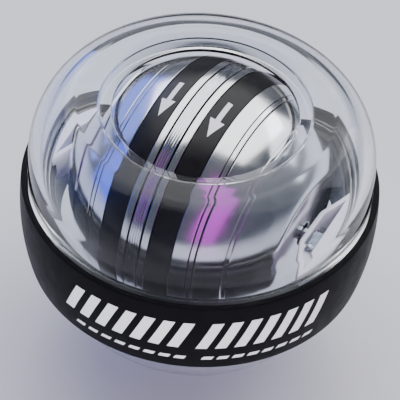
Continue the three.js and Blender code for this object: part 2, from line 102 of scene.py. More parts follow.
# Materials. The size of a grain and the depth of a relief are in millimetres.

NOISE_LOW = 0.3
NOISE_HIGH = 0.7
WAVE_BANDS = 3.2


def linear(hex_colour):
    """An sRGB hex colour, such as #E9E7EF, as linear red, green, blue and alpha."""
    parts = [int(hex_colour[i : i + 2], 16) / 255 for i in (1, 3, 5)]
    return [c / 12.92 if c <= 0.04045 else ((c + 0.055) / 1.055) ** 2.4 for c in parts] + [1]


def add_node(tree, kind, sockets=(), **settings):
    """Adds a node. settings are its properties; sockets gives inputs a value or another node's output."""
    made = tree.nodes.new(kind)
    for name, value in settings.items():
        setattr(made, name, value)
    for name, value in dict(sockets).items():
        if isinstance(value, bpy.types.NodeSocket):
            tree.links.new(value, made.inputs[name])
        else:
            made.inputs[name].default_value = value
    return made


def blank(name):
    """A new material's node tree, its shader and the object coordinates."""
    material = bpy.data.materials.new(name)
    material.use_nodes = True
    tree = material.node_tree
    shader = tree.nodes["Principled BSDF"]
    coordinates = add_node(tree, "ShaderNodeTexCoord").outputs["Object"]
    return material, tree, shader, coordinates


def size_scale(millimetres):
    """Noise scale that gives features of about this size."""
    return 1 / (millimetres * MM)


def grain(tree, coordinates, size, detail=2.0):
    """Noise with features of a given size in millimetres."""
    sockets = {"Vector": coordinates, "Scale": size_scale(size), "Detail": detail}
    return add_node(tree, "ShaderNodeTexNoise", sockets).outputs["Fac"]


def soften(tree, shader, factor, low, high):
    """Roughness: a noise's middle range stretched to the range from low to high."""
    sockets = {"Value": factor, "From Min": NOISE_LOW, "From Max": NOISE_HIGH, "To Min": low, "To Max": high}
    stretched = add_node(tree, "ShaderNodeMapRange", sockets)
    tree.links.new(stretched.outputs["Result"], shader.inputs["Roughness"])


def tint(tree, shader, factor, low, high):
    """Base colour: two hex colours mixed by a factor."""
    mix = add_node(tree, "ShaderNodeMix", {"Factor": factor}, data_type="RGBA")
    mix.inputs["A"].default_value = linear(low)
    mix.inputs["B"].default_value = linear(high)
    tree.links.new(mix.outputs["Result"], shader.inputs["Base Color"])


def relief(tree, shader, height, depth, strength=1.0):
    """Bump of a given depth in millimetres."""
    sockets = {"Height": height, "Distance": depth * MM, "Strength": strength}
    tree.links.new(add_node(tree, "ShaderNodeBump", sockets).outputs["Normal"], shader.inputs["Normal"])


def clear_polycarbonate():
    """Clear polycarbonate, moulded and polished: glass-like, with faint handling haze."""
    material, tree, shader, at = blank("clear_polycarbonate")
    shader.inputs["Base Color"].default_value = linear("#F6F9FC")
    shader.inputs["Transmission Weight"].default_value = 1
    shader.inputs["IOR"].default_value = 1.5
    shader.inputs["Specular Tint"].default_value = [0.2, 0.2, 0.2, 1]
    soften(tree, shader, grain(tree, at, size=9), low=0.0, high=0.035)
    relief(tree, shader, grain(tree, at, size=14, detail=1.0), depth=0.03, strength=0.25)
    return material


def black_silicone():
    """Black silicone rubber, moulded matt: a faint soft sheen over a fine grain."""
    material, tree, shader, at = blank("black_silicone")
    tint(tree, shader, grain(tree, at, size=7), "#0A0A0C", "#101012")
    soften(tree, shader, grain(tree, at, size=3), low=0.42, high=0.52)
    shader.inputs["IOR"].default_value = 1.41
    shader.inputs["Specular IOR Level"].default_value = 0.08
    relief(tree, shader, grain(tree, at, size=0.35), depth=0.012, strength=0.5)
    return material


def pad_printed_ink():
    """White pad-printing ink on silicone: matt, with thin spots where it wears."""
    material, tree, shader, at = blank("pad_printed_white_ink")
    tint(tree, shader, grain(tree, at, size=1.2, detail=4.0), "#EDF2F6", "#FFFFFF")
    shader.inputs["Roughness"].default_value = 0.42
    relief(tree, shader, grain(tree, at, size=0.35), depth=0.01, strength=0.4)
    return material


def moulded_acetal(name, low, high):
    """Acetal, injection moulded: smooth and slightly waxy."""
    material, tree, shader, at = blank(name)
    tint(tree, shader, grain(tree, at, size=5), low, high)
    soften(tree, shader, grain(tree, at, size=2), low=0.28, high=0.38)
    shader.inputs["IOR"].default_value = 1.48
    shader.inputs["Subsurface Weight"].default_value = 0.15
    shader.inputs["Subsurface Scale"].default_value = 0.6 * MM
    relief(tree, shader, grain(tree, at, size=0.5), depth=0.01, strength=0.3)
    return material


def chrome_plate(name, low, high):
    """Chrome plate on cast zinc, as bright as the polish under it: reflections soften from low to high."""
    material, tree, shader, at = blank(name)
    tint(tree, shader, grain(tree, at, size=6), "#E9EAEE", "#F4F5F7")
    shader.inputs["Metallic"].default_value = 1
    soften(tree, shader, grain(tree, at, size=4, detail=3.0), low=low, high=high)
    relief(tree, shader, grain(tree, at, size=11, detail=1.0), depth=0.02, strength=0.2)
    return material


def axle_place(tree, coordinates):
    """Object coordinates turned so that Z runs along the axle."""
    turn = (ON_AXLE.inverted()).to_euler()
    shift = ON_AXLE.inverted().to_translation()
    sockets = {"Vector": coordinates, "Rotation": turn, "Location": shift}
    return add_node(tree, "ShaderNodeMapping", sockets, vector_type="POINT").outputs["Vector"]


def turned_lines(tree, coordinates, pitch):
    """Fine rings round the axle, as a lathe tool leaves them, with a pitch in millimetres.

    At a scale of 1 a wave texture has about WAVE_BANDS bands in a metre.
    """
    scale = 1 / (pitch * MM) / WAVE_BANDS
    sockets = {"Vector": axle_place(tree, coordinates), "Scale": scale, "Distortion": 0.0}
    wave = add_node(tree, "ShaderNodeTexWave", sockets, wave_type="BANDS", bands_direction="Z")
    return wave.outputs["Fac"]


def turned_chrome():
    """Chrome plate over a turned ring: bright, with lathe lines round it, drawn coarse to show."""
    material, tree, shader, at = blank("turned_chrome_plate")
    tint(tree, shader, grain(tree, at, size=6), "#DFE1E6", "#EFF0F3")
    shader.inputs["Metallic"].default_value = 1
    soften(tree, shader, grain(tree, at, size=3, detail=3.0), low=0.07, high=0.13)
    relief(tree, shader, turned_lines(tree, at, pitch=0.22), depth=0.012, strength=0.5)
    return material


def tread_rubber():
    """Black tread rubber, moulded smooth: satin, with a fine skin."""
    material, tree, shader, at = blank("black_tread_rubber")
    tint(tree, shader, grain(tree, at, size=4), "#0B0B0D", "#141417")
    soften(tree, shader, grain(tree, at, size=2), low=0.28, high=0.38)
    shader.inputs["Specular IOR Level"].default_value = 0.36
    relief(tree, shader, grain(tree, at, size=0.4), depth=0.01, strength=0.2)
    return material


def turned_steel(name, low, high, pitch):
    """Turned or ground steel: grey metal with fine lines from the tool."""
    material, tree, shader, at = blank(name)
    tint(tree, shader, grain(tree, at, size=2), low, high)
    shader.inputs["Metallic"].default_value = 1
    soften(tree, shader, grain(tree, at, size=1), low=0.2, high=0.32)
    relief(tree, shader, turned_lines(tree, at, pitch), depth=0.01, strength=0.4)
    return material


def sintered_bronze():
    """Sintered bronze, oil filled: warm metal with dark pores."""
    material, tree, shader, at = blank("sintered_bronze")
    tint(tree, shader, grain(tree, at, size=0.25, detail=4.0), "#6F5026", "#B58B50")
    shader.inputs["Metallic"].default_value = 1
    soften(tree, shader, grain(tree, at, size=0.4), low=0.32, high=0.5)
    relief(tree, shader, grain(tree, at, size=0.25, detail=4.0), depth=0.02, strength=0.5)
    return material


CLEAR = clear_polycarbonate()
SILICONE = black_silicone()
INK = pad_printed_ink()
ACETAL = moulded_acetal("moulded_white_acetal", "#E4E2EC", "#F3F2F8")
# Near-black acetal colour for the guide ring's running ring: painted shade, which darkens it where the lamps
# light it through the clear shells.
RING_SHADE_ACETAL = moulded_acetal("acetal_painted_shade_black", "#101114", "#1A1B1F")
CHROME = chrome_plate("satin_chrome_plate", 0.15, 0.22)
BRIGHT_CHROME = chrome_plate("polished_chrome_plate", 0.12, 0.2)
RIBBED_CHROME = turned_chrome()
TREAD = tread_rubber()
STEEL = turned_steel("turned_steel", "#A4A7AD", "#C3C6CB", 0.25)
SPRING_STEEL = turned_steel("blued_spring_steel", "#5C6472", "#8A92A0", 0.4)
BRONZE = sintered_bronze()


# Making pieces. Steps are the parts that a curve is cut into.

LONGEST_SHARE = 0.49
SHARP = 40
TURNED_SHARP = 25


def rounded(corners, steps=4, closed=True):
    """An outline with rounded corners. Each corner is (radius, height) or (radius, height, rounding).

    A rounding takes up at most LONGEST_SHARE of a side.
    """
    outline = []
    count = len(corners)
    for i, corner in enumerate(corners):
        here = Vector(corner[:2])
        rounding = corner[2] if len(corner) > 2 else 0
        if not rounding or (not closed and i in (0, count - 1)):
            outline.append(here)
            continue
        before = Vector(corners[i - 1][:2]) - here
        after = Vector(corners[(i + 1) % count][:2]) - here
        room = min(before.length * LONGEST_SHARE, after.length * LONGEST_SHARE)
        back = min(rounding / tan(before.angle(after) / 2), room)
        start = here + before.normalized() * back
        end = here + after.normalized() * back
        for k in range(steps + 1):
            share = k / steps
            outline.append(start * (1 - share) ** 2 + here * 2 * share * (1 - share) + end * share**2)
    return outline


def finish_piece(name, bm, material, body, nodes=(), sharp=SHARP):
    """Turns a bmesh into a named piece that rides on a body and stands for CAD nodes.

    Edges sharper than sharp degrees stay crisp.
    """
    mesh = bpy.data.meshes.new(name)
    bmesh.ops.dissolve_degenerate(bm, edges=bm.edges, dist=MERGE_DISTANCE)
    bm.to_mesh(mesh)
    bm.free()
    for face in mesh.polygons:
        face.use_smooth = True
    mesh.set_sharp_from_angle(angle=radians(sharp))
    piece = bpy.data.objects.new(name, mesh)
    bpy.context.scene.collection.objects.link(piece)
    mesh.materials.append(material)
    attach(piece, body)
    for node in nodes:
        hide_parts(node)
    return piece


def spun(outline, steps, place=Matrix()):
    """A closed outline of (radius, height) points spun about Z, as a bmesh."""
    bm = bmesh.new()
    rim = [bm.verts.new((max(radius, 0), 0, height)) for radius, height in outline]
    on_axis = outline[0][0] <= 0 and outline[-1][0] <= 0
    pairs = list(zip(rim, rim[1:])) + ([] if on_axis else [(rim[-1], rim[0])])
    edges = [bm.edges.new(pair) for pair in pairs]
    bmesh.ops.spin(bm, geom=rim + edges, cent=(0, 0, 0), axis=(0, 0, 1), dvec=(0, 0, 0), angle=FULL,
                   steps=steps, use_merge=True)
    bmesh.ops.remove_doubles(bm, verts=bm.verts, dist=MERGE_DISTANCE)
    bmesh.ops.recalc_face_normals(bm, faces=bm.faces)
    bmesh.ops.transform(bm, matrix=place, verts=bm.verts)
    return bm


def ball_arc(radius, start, end, steps):
    """Points of a ball's surface between two places along the axle."""
    first = asin(start / radius)
    turn = asin(end / radius) - first
    turns = [first + turn * i / steps for i in range(steps + 1)]
    return [(radius * cos(a), radius * sin(a)) for a in turns]


def mirrored(outline, side):
    """An outline for the right side of the rotor, or its mirror image for the left."""
    return [Vector((point[0], point[1] * side)) for point in outline]


# Shells and band.

SHELL_STEPS = 192
SHOULDER_STEPS = 28
BOWL_STEPS = 32
BAND_STEPS = 24
CRISP = 0.12 * MM
LIP_SLOPE = 2.3 * MM
LIP_WIDTH = 4.5 * MM
OPENING_DROP = 1.6 * MM
LIP_EDGE = 0.8 * MM
LIP_ROUNDING = 0.35 * MM
CREASE_DROP = 0.8 * MM
CREASE_ROUNDING = 0.1 * MM
BEAD_WIDTH = 0.5 * MM
BEAD_HEIGHT = 0.2 * MM
BEAD_FOOT = 0.02 * MM
BEAD_ROUNDING = 0.15 * MM
OPENING_GAP = 0.8 * MM
SHOULDER_START = RING_PLANE + 10 * MM
LEDGE = 1.5 * MM
RIM_CLEARANCE = 0.15 * MM
BASE_CUT = 2.7 * MM
LIP_UNDERSIDE = CREST - OPENING_DROP - LIP_EDGE
OPENING_RADIUS = sqrt(ROTOR_RADIUS**2 - (LIP_UNDERSIDE - RING_PLANE) ** 2) + OPENING_GAP
CREASE_RADIUS = OPENING_RADIUS + LIP_SLOPE
CREST_RADIUS = CREASE_RADIUS + LIP_WIDTH
BOWL_REACH = BALL_CENTRE + BASE_CUT
BASE_RECESS_RADIUS = 9 * MM
BASE_RECESS_DEPTH = 0.6 * MM
BASE_RECESS_SLOPE = 0.3 * MM


def shoulder(radius, top, steps):
    """The dome's rounded shoulder, from its upright wall to its crest."""
    turns = [pi / 2 * i / steps for i in range(steps + 1)]
    out, rise = radius - CREST_RADIUS, top - SHOULDER_START
    return [(CREST_RADIUS + out * cos(turn), SHOULDER_START + rise * sin(turn)) for turn in turns]


def bowl(half_width, half_height, low, high, steps):
    """The bowl's curve between two heights, from the lower one up."""
    first = asin((low - BALL_CENTRE) / half_height)
    turn = asin((high - BALL_CENTRE) / half_height) - first
    turns = [first + turn * i / steps for i in range(steps + 1)]
    return [(half_width * cos(a), BALL_CENTRE + half_height * sin(a)) for a in turns]


def upper_shell():
    """The dome. Clear plastic lets the lamps through, so neither shell casts a shadow on what it holds."""
    seam = RING_PLANE + RACE_HALF
    outline = rounded([
        (RACE_INNER, seam),
        (SHELL_RADIUS, seam),
        *shoulder(SHELL_RADIUS, CREST, SHOULDER_STEPS),
        (CREASE_RADIUS + BEAD_WIDTH, CREST - CREASE_DROP + BEAD_FOOT, CREASE_ROUNDING),
        (CREASE_RADIUS + BEAD_WIDTH / 2, CREST - CREASE_DROP + BEAD_HEIGHT, BEAD_ROUNDING),
        (CREASE_RADIUS, CREST - CREASE_DROP, CREASE_ROUNDING),
        (OPENING_RADIUS, CREST - OPENING_DROP, LIP_ROUNDING),
        (OPENING_RADIUS, LIP_UNDERSIDE, LIP_ROUNDING),
        *reversed(shoulder(SHELL_INNER, CREST - SHELL_WALL, SHOULDER_STEPS)),
        (SHELL_INNER, seam + LEDGE, CRISP),
        (RACE_INNER, seam + LEDGE, CRISP),
    ])
    bm = spun(outline, SHELL_STEPS)
    shell = finish_piece("upper_shell_clear", bm, CLEAR, "housing", ["upper_shell"])
    shell.visible_shadow = False


def lower_shell():
    """The bowl, flat and recessed below, with the race in its rim."""
    race_floor = RING_PLANE - RACE_HALF
    rim_top = RING_PLANE + RACE_HALF - RIM_CLEARANCE
    ledge_under = race_floor - LEDGE
    inner_reach = BOWL_REACH - SHELL_WALL
    outline = rounded([
        (0, BASE_RECESS_DEPTH),
        (BASE_RECESS_RADIUS, BASE_RECESS_DEPTH, CRISP),
        (BASE_RECESS_RADIUS + BASE_RECESS_SLOPE, 0, CRISP),
        *bowl(SHELL_RADIUS, BOWL_REACH, 0, BALL_CENTRE, BOWL_STEPS),
        (SHELL_RADIUS, rim_top),
        (RACE_OUTER, rim_top),
        (RACE_OUTER, race_floor, CRISP),
        (RACE_INNER, race_floor, CRISP),
        (RACE_INNER, ledge_under, CRISP),
        *reversed(bowl(SHELL_INNER, inner_reach, SHELL_WALL, ledge_under, BOWL_STEPS)),
        (0, SHELL_WALL),
    ], closed=False)
    bm = spun(outline, SHELL_STEPS)
    shell = finish_piece("lower_shell_clear", bm, CLEAR, "housing", ["lower_shell"])
    shell.visible_shadow = False


BAND_RADIUS = SHELL_RADIUS + BAND_GAP + BAND_THICKNESS
BAND_BULGE = 5.3 * MM
BAND_REACH = BOWL_REACH + BAND_BULGE
BAND_ROUNDING = 0.4 * MM


def band_outer(height):
    """Outer radius of the band at a height."""
    return BAND_RADIUS * sqrt(1 - ((height - BALL_CENTRE) / BAND_REACH) ** 2)


def shell_outer(height):
    """Outer radius of the shells under the band."""
    return SHELL_RADIUS * sqrt(1 - (min(height - BALL_CENTRE, 0) / BOWL_REACH) ** 2)


def grip_band():
    """The sleeve over the bowl and the seam, as thick as the gap between its two curves."""
    levels = [band_low.z + (band_high.z - band_low.z) * i / BAND_STEPS for i in range(BAND_STEPS + 1)]
    outside = [(band_outer(z), z) for z in levels[1:-1]]
    inside = [(shell_outer(z) + BAND_GAP, z) for z in levels[1:-1]]
    outline = rounded([
        (band_outer(band_low.z), band_low.z, BAND_ROUNDING),
        *outside,
        (band_outer(band_high.z), band_high.z, BAND_ROUNDING),
        (shell_outer(band_high.z) + BAND_GAP, band_high.z, BAND_ROUNDING / 2),
        *reversed(inside),
        (shell_outer(band_low.z) + BAND_GAP, band_low.z, BAND_ROUNDING / 2),
    ])
    bm = spun(outline, SHELL_STEPS)
    finish_piece("grip_band_silicone", bm, SILICONE, "housing", ["grip_band"])


# Print on the band: a row of slanted bars with a row of dashes under it, in front and behind.

BAR_WIDTH = 2.2 * MM
BAR_GAP = 1.6 * MM
BAR_GROUP = 7
BAR_LOW = BALL_CENTRE - 6 * MM
BAR_HIGH = BALL_CENTRE + 1.4 * MM
BAR_SLANT = 3 * MM
DASH_WIDTH = 2.1 * MM
DASH_GAP = 1 * MM
DASH_GROUP = 8
DASH_LOW = BALL_CENTRE - 9.8 * MM
DASH_HIGH = BALL_CENTRE - 8.8 * MM
DASH_SLANT = 0.5 * MM
GROUP_GAP = 3.4 * MM
PRINT_TURN = radians(2)
INK_LIFT = 0.02 * MM
INK_DEPTH = 0.05 * MM
PATCH_STEPS_ACROSS = 6
PATCH_STEPS_UP = 8


def ink_film(bm):
    """Gives a patch of ink its thickness, towards the middle of the ball."""
    inner = bmesh.ops.duplicate(bm, geom=bm.faces[:])["geom"]
    verts = [item for item in inner if isinstance(item, bmesh.types.BMVert)]
    middle = Vector((0, 0, RING_PLANE))
    for vert in verts:
        vert.co -= (vert.co - middle).normalized() * INK_DEPTH
    bmesh.ops.bridge_loops(bm, edges=[edge for edge in bm.edges if edge.is_boundary])
    bmesh.ops.recalc_face_normals(bm, faces=bm.faces)
    return bm


def printed_patch(middle, width, low, high, slant):
    """A slanted patch of ink on the band, as a bmesh. middle is its angle about Z."""
    bm = bmesh.new()
    bmesh.ops.create_grid(bm, x_segments=PATCH_STEPS_ACROSS, y_segments=PATCH_STEPS_UP, size=0.5)
    for vert in bm.verts:
        side, rise = vert.co.x, vert.co.y + 0.5
        height = low + (high - low) * rise
        angle = middle + (side * width + slant * (rise - 0.5)) / BAND_RADIUS
        radius = band_outer(height) + INK_LIFT
        vert.co = (radius * cos(angle), radius * sin(angle), height)
    return ink_film(bm)


def merged(parts):
    """One bmesh that holds several."""
    whole = bmesh.new()
    for part in parts:
        mesh = bpy.data.meshes.new("part")
        part.to_mesh(mesh)
        part.free()
        whole.from_mesh(mesh)
        bpy.data.meshes.remove(mesh)
    return whole


def band_print():
    """Both rows, in two groups each, on the two faces of the band."""
    parts = []
    for face in (PRINT_TURN - pi / 2, PRINT_TURN + pi / 2):
        for width, gap, count, low, high, slant in (
            (BAR_WIDTH, BAR_GAP, BAR_GROUP, BAR_LOW, BAR_HIGH, BAR_SLANT),
            (DASH_WIDTH, DASH_GAP, DASH_GROUP, DASH_LOW, DASH_HIGH, DASH_SLANT),
        ):
            for side in (-1, 1):
                for i in range(count):
                    middle = side * (GROUP_GAP / 2 + width / 2 + i * (width + gap)) / BAND_RADIUS
                    parts.append(printed_patch(face + middle, width, low, high, slant))
    finish_piece("band_print_ink", merged(parts), INK, "housing")


# Rotor.

ROTOR_STEPS = 144
BAND_ARC_STEPS = 8
SEAT_STEPS = 12
CAP_STEPS = 16
GROOVE_STEPS = 3
CAP_ROUNDING_STEPS = 6
CORE_RADIUS = 16.6 * MM
CORE_REACH = 5.4 * MM
ROTOR_BORE = 3.5 * MM
RING_SEAT_RADIUS = 21.5 * MM
CENTRE_RING_DEPTH = 5.2 * MM
STRIP_EDGE = 0.06 * MM
TREAD_DROP = 0.05 * MM
TREAD_EDGE = 0.15 * MM
TRIM_EDGE = 0.12 * MM
CAP_EDGE = 0.15 * MM
GROOVE_EDGE = 0.12 * MM
CAP_END_ROUNDING = 4 * MM
CAP_END_SKIP = 6
CAP_HOLE_EDGE = 0.3 * MM
CAP_INNER_EDGE = 0.1 * MM
RIB_FOOT = 0.06 * MM
RIB_FOOT_ROUNDING = 0.04 * MM
RIB_TOP = 0.12 * MM
RIB_TOP_ROUNDING = 0.05 * MM
RIB_ROUNDING_STEPS = 2


def rotor_half(side, name):
    """Half of the casting: a seat for the tread, the strip beside it, and a seat for the trim and the cap."""
    seat = ROTOR_RADIUS - CAP_THICKNESS - SEAM_GAP
    reach = ROTOR_REACH - CAP_THICKNESS - SEAM_GAP
    start = RING_HALF_WIDTH + DARK_LINE
    shoulder_start, shoulder_end = ball_arc(ROTOR_RADIUS, start, TREAD_START, 1)
    tread = ball_arc(ROTOR_RADIUS - TREAD_THICKNESS, TREAD_START, TREAD_END, BAND_ARC_STEPS)
    strip = ball_arc(ROTOR_RADIUS, TREAD_END, TRIM_START - FIT_GAP, BAND_ARC_STEPS)
    outline = rounded([
        (CORE_RADIUS, SEAM_GAP / 2),
        (RING_SEAT_RADIUS, SEAM_GAP / 2),
        (RING_SEAT_RADIUS, start),
        (*shoulder_start, STRIP_EDGE),
        (*shoulder_end, STRIP_EDGE),
        *tread,
        (*strip[0], STRIP_EDGE),
        *strip[1:-1],
        (*strip[-1], STRIP_EDGE),
        *ball_arc(seat, TRIM_START - FIT_GAP, reach, SEAT_STEPS),
        (ROTOR_BORE, reach),
        (ROTOR_BORE, CORE_REACH),
        (CORE_RADIUS, CORE_REACH),
    ])
    bm = spun(mirrored(outline, side), ROTOR_STEPS, ON_AXLE)
    nodes = [f"rotor_half_{name}"]
    finish_piece(f"rotor_half_{name}_chrome", bm, CHROME, "rotor", nodes, TURNED_SHARP)


def ball_band(name, side, node, inner, outer, start, end, material, slot, edge):
    """A band that lies on the ball between two places along the axle."""
    top = ball_arc(outer, start, end, BAND_ARC_STEPS)
    under = ball_arc(inner, start, end, BAND_ARC_STEPS)
    outline = rounded([(*top[0], edge), *top[1:-1], (*top[-1], edge), *reversed(under)])
    bm = spun(mirrored(outline, side), ROTOR_STEPS, ON_AXLE)
    finish_piece(name, bm, material, "rotor", [node], TURNED_SHARP)


def tread_band(side, name):
    inner = ROTOR_RADIUS - TREAD_THICKNESS + FIT_GAP
    outer = ROTOR_RADIUS - TREAD_DROP
    span = (TREAD_START + FIT_GAP, TREAD_END - FIT_GAP)
    ball_band(f"tread_band_{name}_rubber", side, f"tread_band_{name}", inner, outer, *span, TREAD,
              "tread_rubber", TREAD_EDGE)


def trim_ring(side, name):
    inner = ROTOR_RADIUS - CAP_THICKNESS
    span = (TRIM_START, TRIM_START + TRIM_WIDTH)
    ball_band(f"trim_ring_{name}_chrome", side, f"trim_ring_{name}", inner, ROTOR_RADIUS, *span,
              BRIGHT_CHROME, "chrome", TRIM_EDGE)


def side_cap(side, name):
    """A cap, polished as far as the groove round it and satin on its end.

    The last CAP_END_SKIP points of its curve give way to the rounding of its end.
    """
    inner_reach = ROTOR_REACH - CAP_THICKNESS
    groove_start, groove_end = GROOVE_START + GROOVE_EDGE, GROOVE_END - GROOVE_EDGE
    lip = ball_arc(ROTOR_RADIUS, CAP_START, GROOVE_START, SEAT_STEPS)
    groove = ball_arc(ROTOR_RADIUS - GROOVE_DEPTH, groove_start, groove_end, GROOVE_STEPS)
    end = ball_arc(ROTOR_RADIUS, GROOVE_END, ROTOR_REACH, CAP_STEPS)
    inner = ball_arc(ROTOR_RADIUS - CAP_THICKNESS, CAP_START, inner_reach, CAP_STEPS)
    outline = rounded([
        (*lip[0], CAP_EDGE),
        *lip[1:-1],
        (*lip[-1], GROOVE_EDGE),
        *groove,
        (*end[0], GROOVE_EDGE),
        *end[1:-CAP_END_SKIP],
        (*end[-1], CAP_END_ROUNDING),
        (CAP_HOLE_RADIUS, ROTOR_REACH, CAP_HOLE_EDGE),
        (CAP_HOLE_RADIUS, inner_reach, CAP_INNER_EDGE),
        *reversed(inner),
    ], steps=CAP_ROUNDING_STEPS)
    bm = spun(mirrored(outline, side), ROTOR_STEPS, ON_AXLE)
    along = ON_AXLE.inverted()
    for face in bm.faces:
        face.material_index = int(abs((along @ face.calc_center_median()).z) > GROOVE_END)
    nodes = [f"side_cap_{name}"]
    cap = finish_piece(f"side_cap_{name}_chrome", bm, BRIGHT_CHROME, "rotor", nodes, TURNED_SHARP)
    cap.data.materials.append(CHROME)


def centre_ring():
    """The ring between the halves, with ribs round it."""
    inner = ROTOR_RADIUS - CENTRE_RING_DEPTH
    pitch = 2 * RING_HALF_WIDTH / RIBS
    ribs = []
    for i in range(RIBS):
        start = -RING_HALF_WIDTH + i * pitch
        ribs += [
            (ROTOR_RADIUS - RIB_DEPTH, start + RIB_FOOT, RIB_FOOT_ROUNDING),
            (ROTOR_RADIUS, start + RIB_TOP, RIB_TOP_ROUNDING),
            (ROTOR_RADIUS, start + pitch - RIB_TOP, RIB_TOP_ROUNDING),
            (ROTOR_RADIUS - RIB_DEPTH, start + pitch - RIB_FOOT, RIB_FOOT_ROUNDING),
        ]
    ends = ((inner, -RING_HALF_WIDTH), (inner, RING_HALF_WIDTH))
    outline = rounded([ends[0], *ribs, ends[1]], steps=RIB_ROUNDING_STEPS)
    bm = spun(outline, ROTOR_STEPS, ON_AXLE)
    finish_piece("centre_ring_chrome", bm, RIBBED_CHROME, "rotor", ["centre_ring"], TURNED_SHARP)


# Arrows on the tread bands, three to a band.

ARROW_TURN = radians(10.5)
ARROW_LENGTH = 9.4 * MM
ARROW_HEAD = 4.2 * MM
ARROW_HEAD_HALF = 1.5 * MM
ARROW_SHAFT_HALF = 0.5 * MM
ARROWS = 3
ARROW_STRIPS = 16
ARROW_CUTS = (-0.7, -0.33, 0, 0.33, 0.7)


def arrow(reach, turn):
    """One flat arrow, cut into strips and wrapped on the tread, pointing the way the rotor is wound."""
    bm = bmesh.new()
    neck = ARROW_LENGTH / 2 - ARROW_HEAD
    outline = [
        (-ARROW_SHAFT_HALF, -ARROW_LENGTH / 2),
        (ARROW_SHAFT_HALF, -ARROW_LENGTH / 2),
        (ARROW_SHAFT_HALF, neck),
        (ARROW_HEAD_HALF, neck),
        (0, ARROW_LENGTH / 2),
        (-ARROW_HEAD_HALF, neck),
        (-ARROW_SHAFT_HALF, neck),
    ]
    bm.faces.new([bm.verts.new((x, y, 0)) for x, y in outline])
    cuts = [(0, ARROW_LENGTH * (i / ARROW_STRIPS - 1 / 2), 0, 1) for i in range(1, ARROW_STRIPS)]
    cuts += [(0, neck, 0, 1)] + [(ARROW_HEAD_HALF * share, 0, 1, 0) for share in ARROW_CUTS]
    for x, y, across, along in cuts:
        geometry = bm.verts[:] + bm.edges[:] + bm.faces[:]
        bmesh.ops.bisect_plane(bm, geom=geometry, plane_co=(x, y, 0), plane_no=(across, along, 0))
    outer = ROTOR_RADIUS - TREAD_DROP + INK_LIFT
    for vert in bm.verts:
        along = reach + vert.co.x
        angle = turn + vert.co.y / ROTOR_RADIUS
        radius = sqrt(outer**2 - along**2)
        vert.co = AXLE @ Vector((along, -radius * sin(angle), radius * cos(angle)))
    return ink_film(bm)


def arrows(side, name):
    middle = side * (TREAD_START + TREAD_END) / 2
    parts = [arrow(middle, ARROW_TURN + FULL * i / ARROWS) for i in range(ARROWS)]
    finish_piece(f"tread_arrows_{name}_ink", merged(parts), INK, "rotor")


# Guide ring with its two crescents.

BOSS_OUTER = RACE_INNER - 0.4 * MM
BOSS_HALF_SPAN = 12.8 * MM
BOSS_FLAT_HALF = 4.6 * MM
BOSS_INNER = ROTOR_REACH + 1.2 * MM
BOSS_WALL = 1 * MM
BOSS_ROUNDING = 0.3 * MM
POCKET_INNER = BOSS_INNER + BOSS_WALL
POCKET_OUTER = BOSS_OUTER - 2.6 * MM
PAD_EDGE = 4.04 * MM
PAD_TOP = 2.1 * MM
RIVET_PLACE = (27.4 * MM, -4.84 * MM)
RIVET_HOLE = 0.55 * MM
RIVET_HOLE_STEPS = 20
RING_ROUNDING = 0.25 * MM
BOSS_STEPS = 24
BOSS_ROUNDING_STEPS = 3
BOSS_SHARP = radians(20)
ROD_STEPS = 32
SHAFT_PASSAGE = 1.7 * MM
BUSH_SEAT = 2.7 * MM
SLOT_OVERLAP = 0.5 * MM
FACE_SLACK = 0.05 * MM
RING_SHARP = 30


def plate(outline, low, high):
    """An upright plate over an outline of (x, y) points, as a bmesh."""
    bm = bmesh.new()
    face = bm.faces.new([bm.verts.new((x, y, low)) for x, y in outline])
    made = bmesh.ops.extrude_face_region(bm, geom=[face])
    verts = [item for item in made["geom"] if isinstance(item, bmesh.types.BMVert)]
    bmesh.ops.translate(bm, verts=verts, vec=(0, 0, high - low))
    bmesh.ops.recalc_face_normals(bm, faces=bm.faces)
    return bm


def rod(radius, start, end):
    """A plain rod along X, as a bmesh."""
    bm = bmesh.new()
    bmesh.ops.create_cone(bm, cap_ends=True, segments=ROD_STEPS, radius1=radius, radius2=radius,
                          depth=end - start)
    lay = Matrix.Translation(((start + end) / 2, 0, 0)) @ Matrix.Rotation(pi / 2, 4, "Y")
    bmesh.ops.transform(bm, matrix=lay, verts=bm.verts)
    return bm


def rivet_hole():
    """The hole in the pad under the leaf pawl, as a bmesh."""
    bm = bmesh.new()
    bmesh.ops.create_cone(bm, cap_ends=True, segments=RIVET_HOLE_STEPS, radius1=RIVET_HOLE,
                          radius2=RIVET_HOLE, depth=BOSS_HALF)
    bmesh.ops.translate(bm, verts=bm.verts, vec=(*RIVET_PLACE, PAD_TOP))
    return bm


def boolean(target, tool_bm, operation, turn=0.0):
    """Joins a bmesh to an object, or cuts it away, and applies the result."""
    bmesh.ops.transform(tool_bm, matrix=Matrix.Rotation(turn, 4, "Z"), verts=tool_bm.verts)
    mesh = bpy.data.meshes.new("tool")
    tool_bm.to_mesh(mesh)
    tool_bm.free()
    tool = bpy.data.objects.new("tool", mesh)
    bpy.context.scene.collection.objects.link(tool)
    modifier = target.modifiers.new("cut", "BOOLEAN")
    modifier.object = tool
    modifier.operation = operation
    modifier.solver = "EXACT"
    bpy.context.view_layer.update()
    evaluated = target.evaluated_get(bpy.context.evaluated_depsgraph_get())
    result = bpy.data.meshes.new_from_object(evaluated)
    target.modifiers.clear()
    old = target.data
    target.data = result
    bpy.data.meshes.remove(old)
    bpy.data.objects.remove(tool)


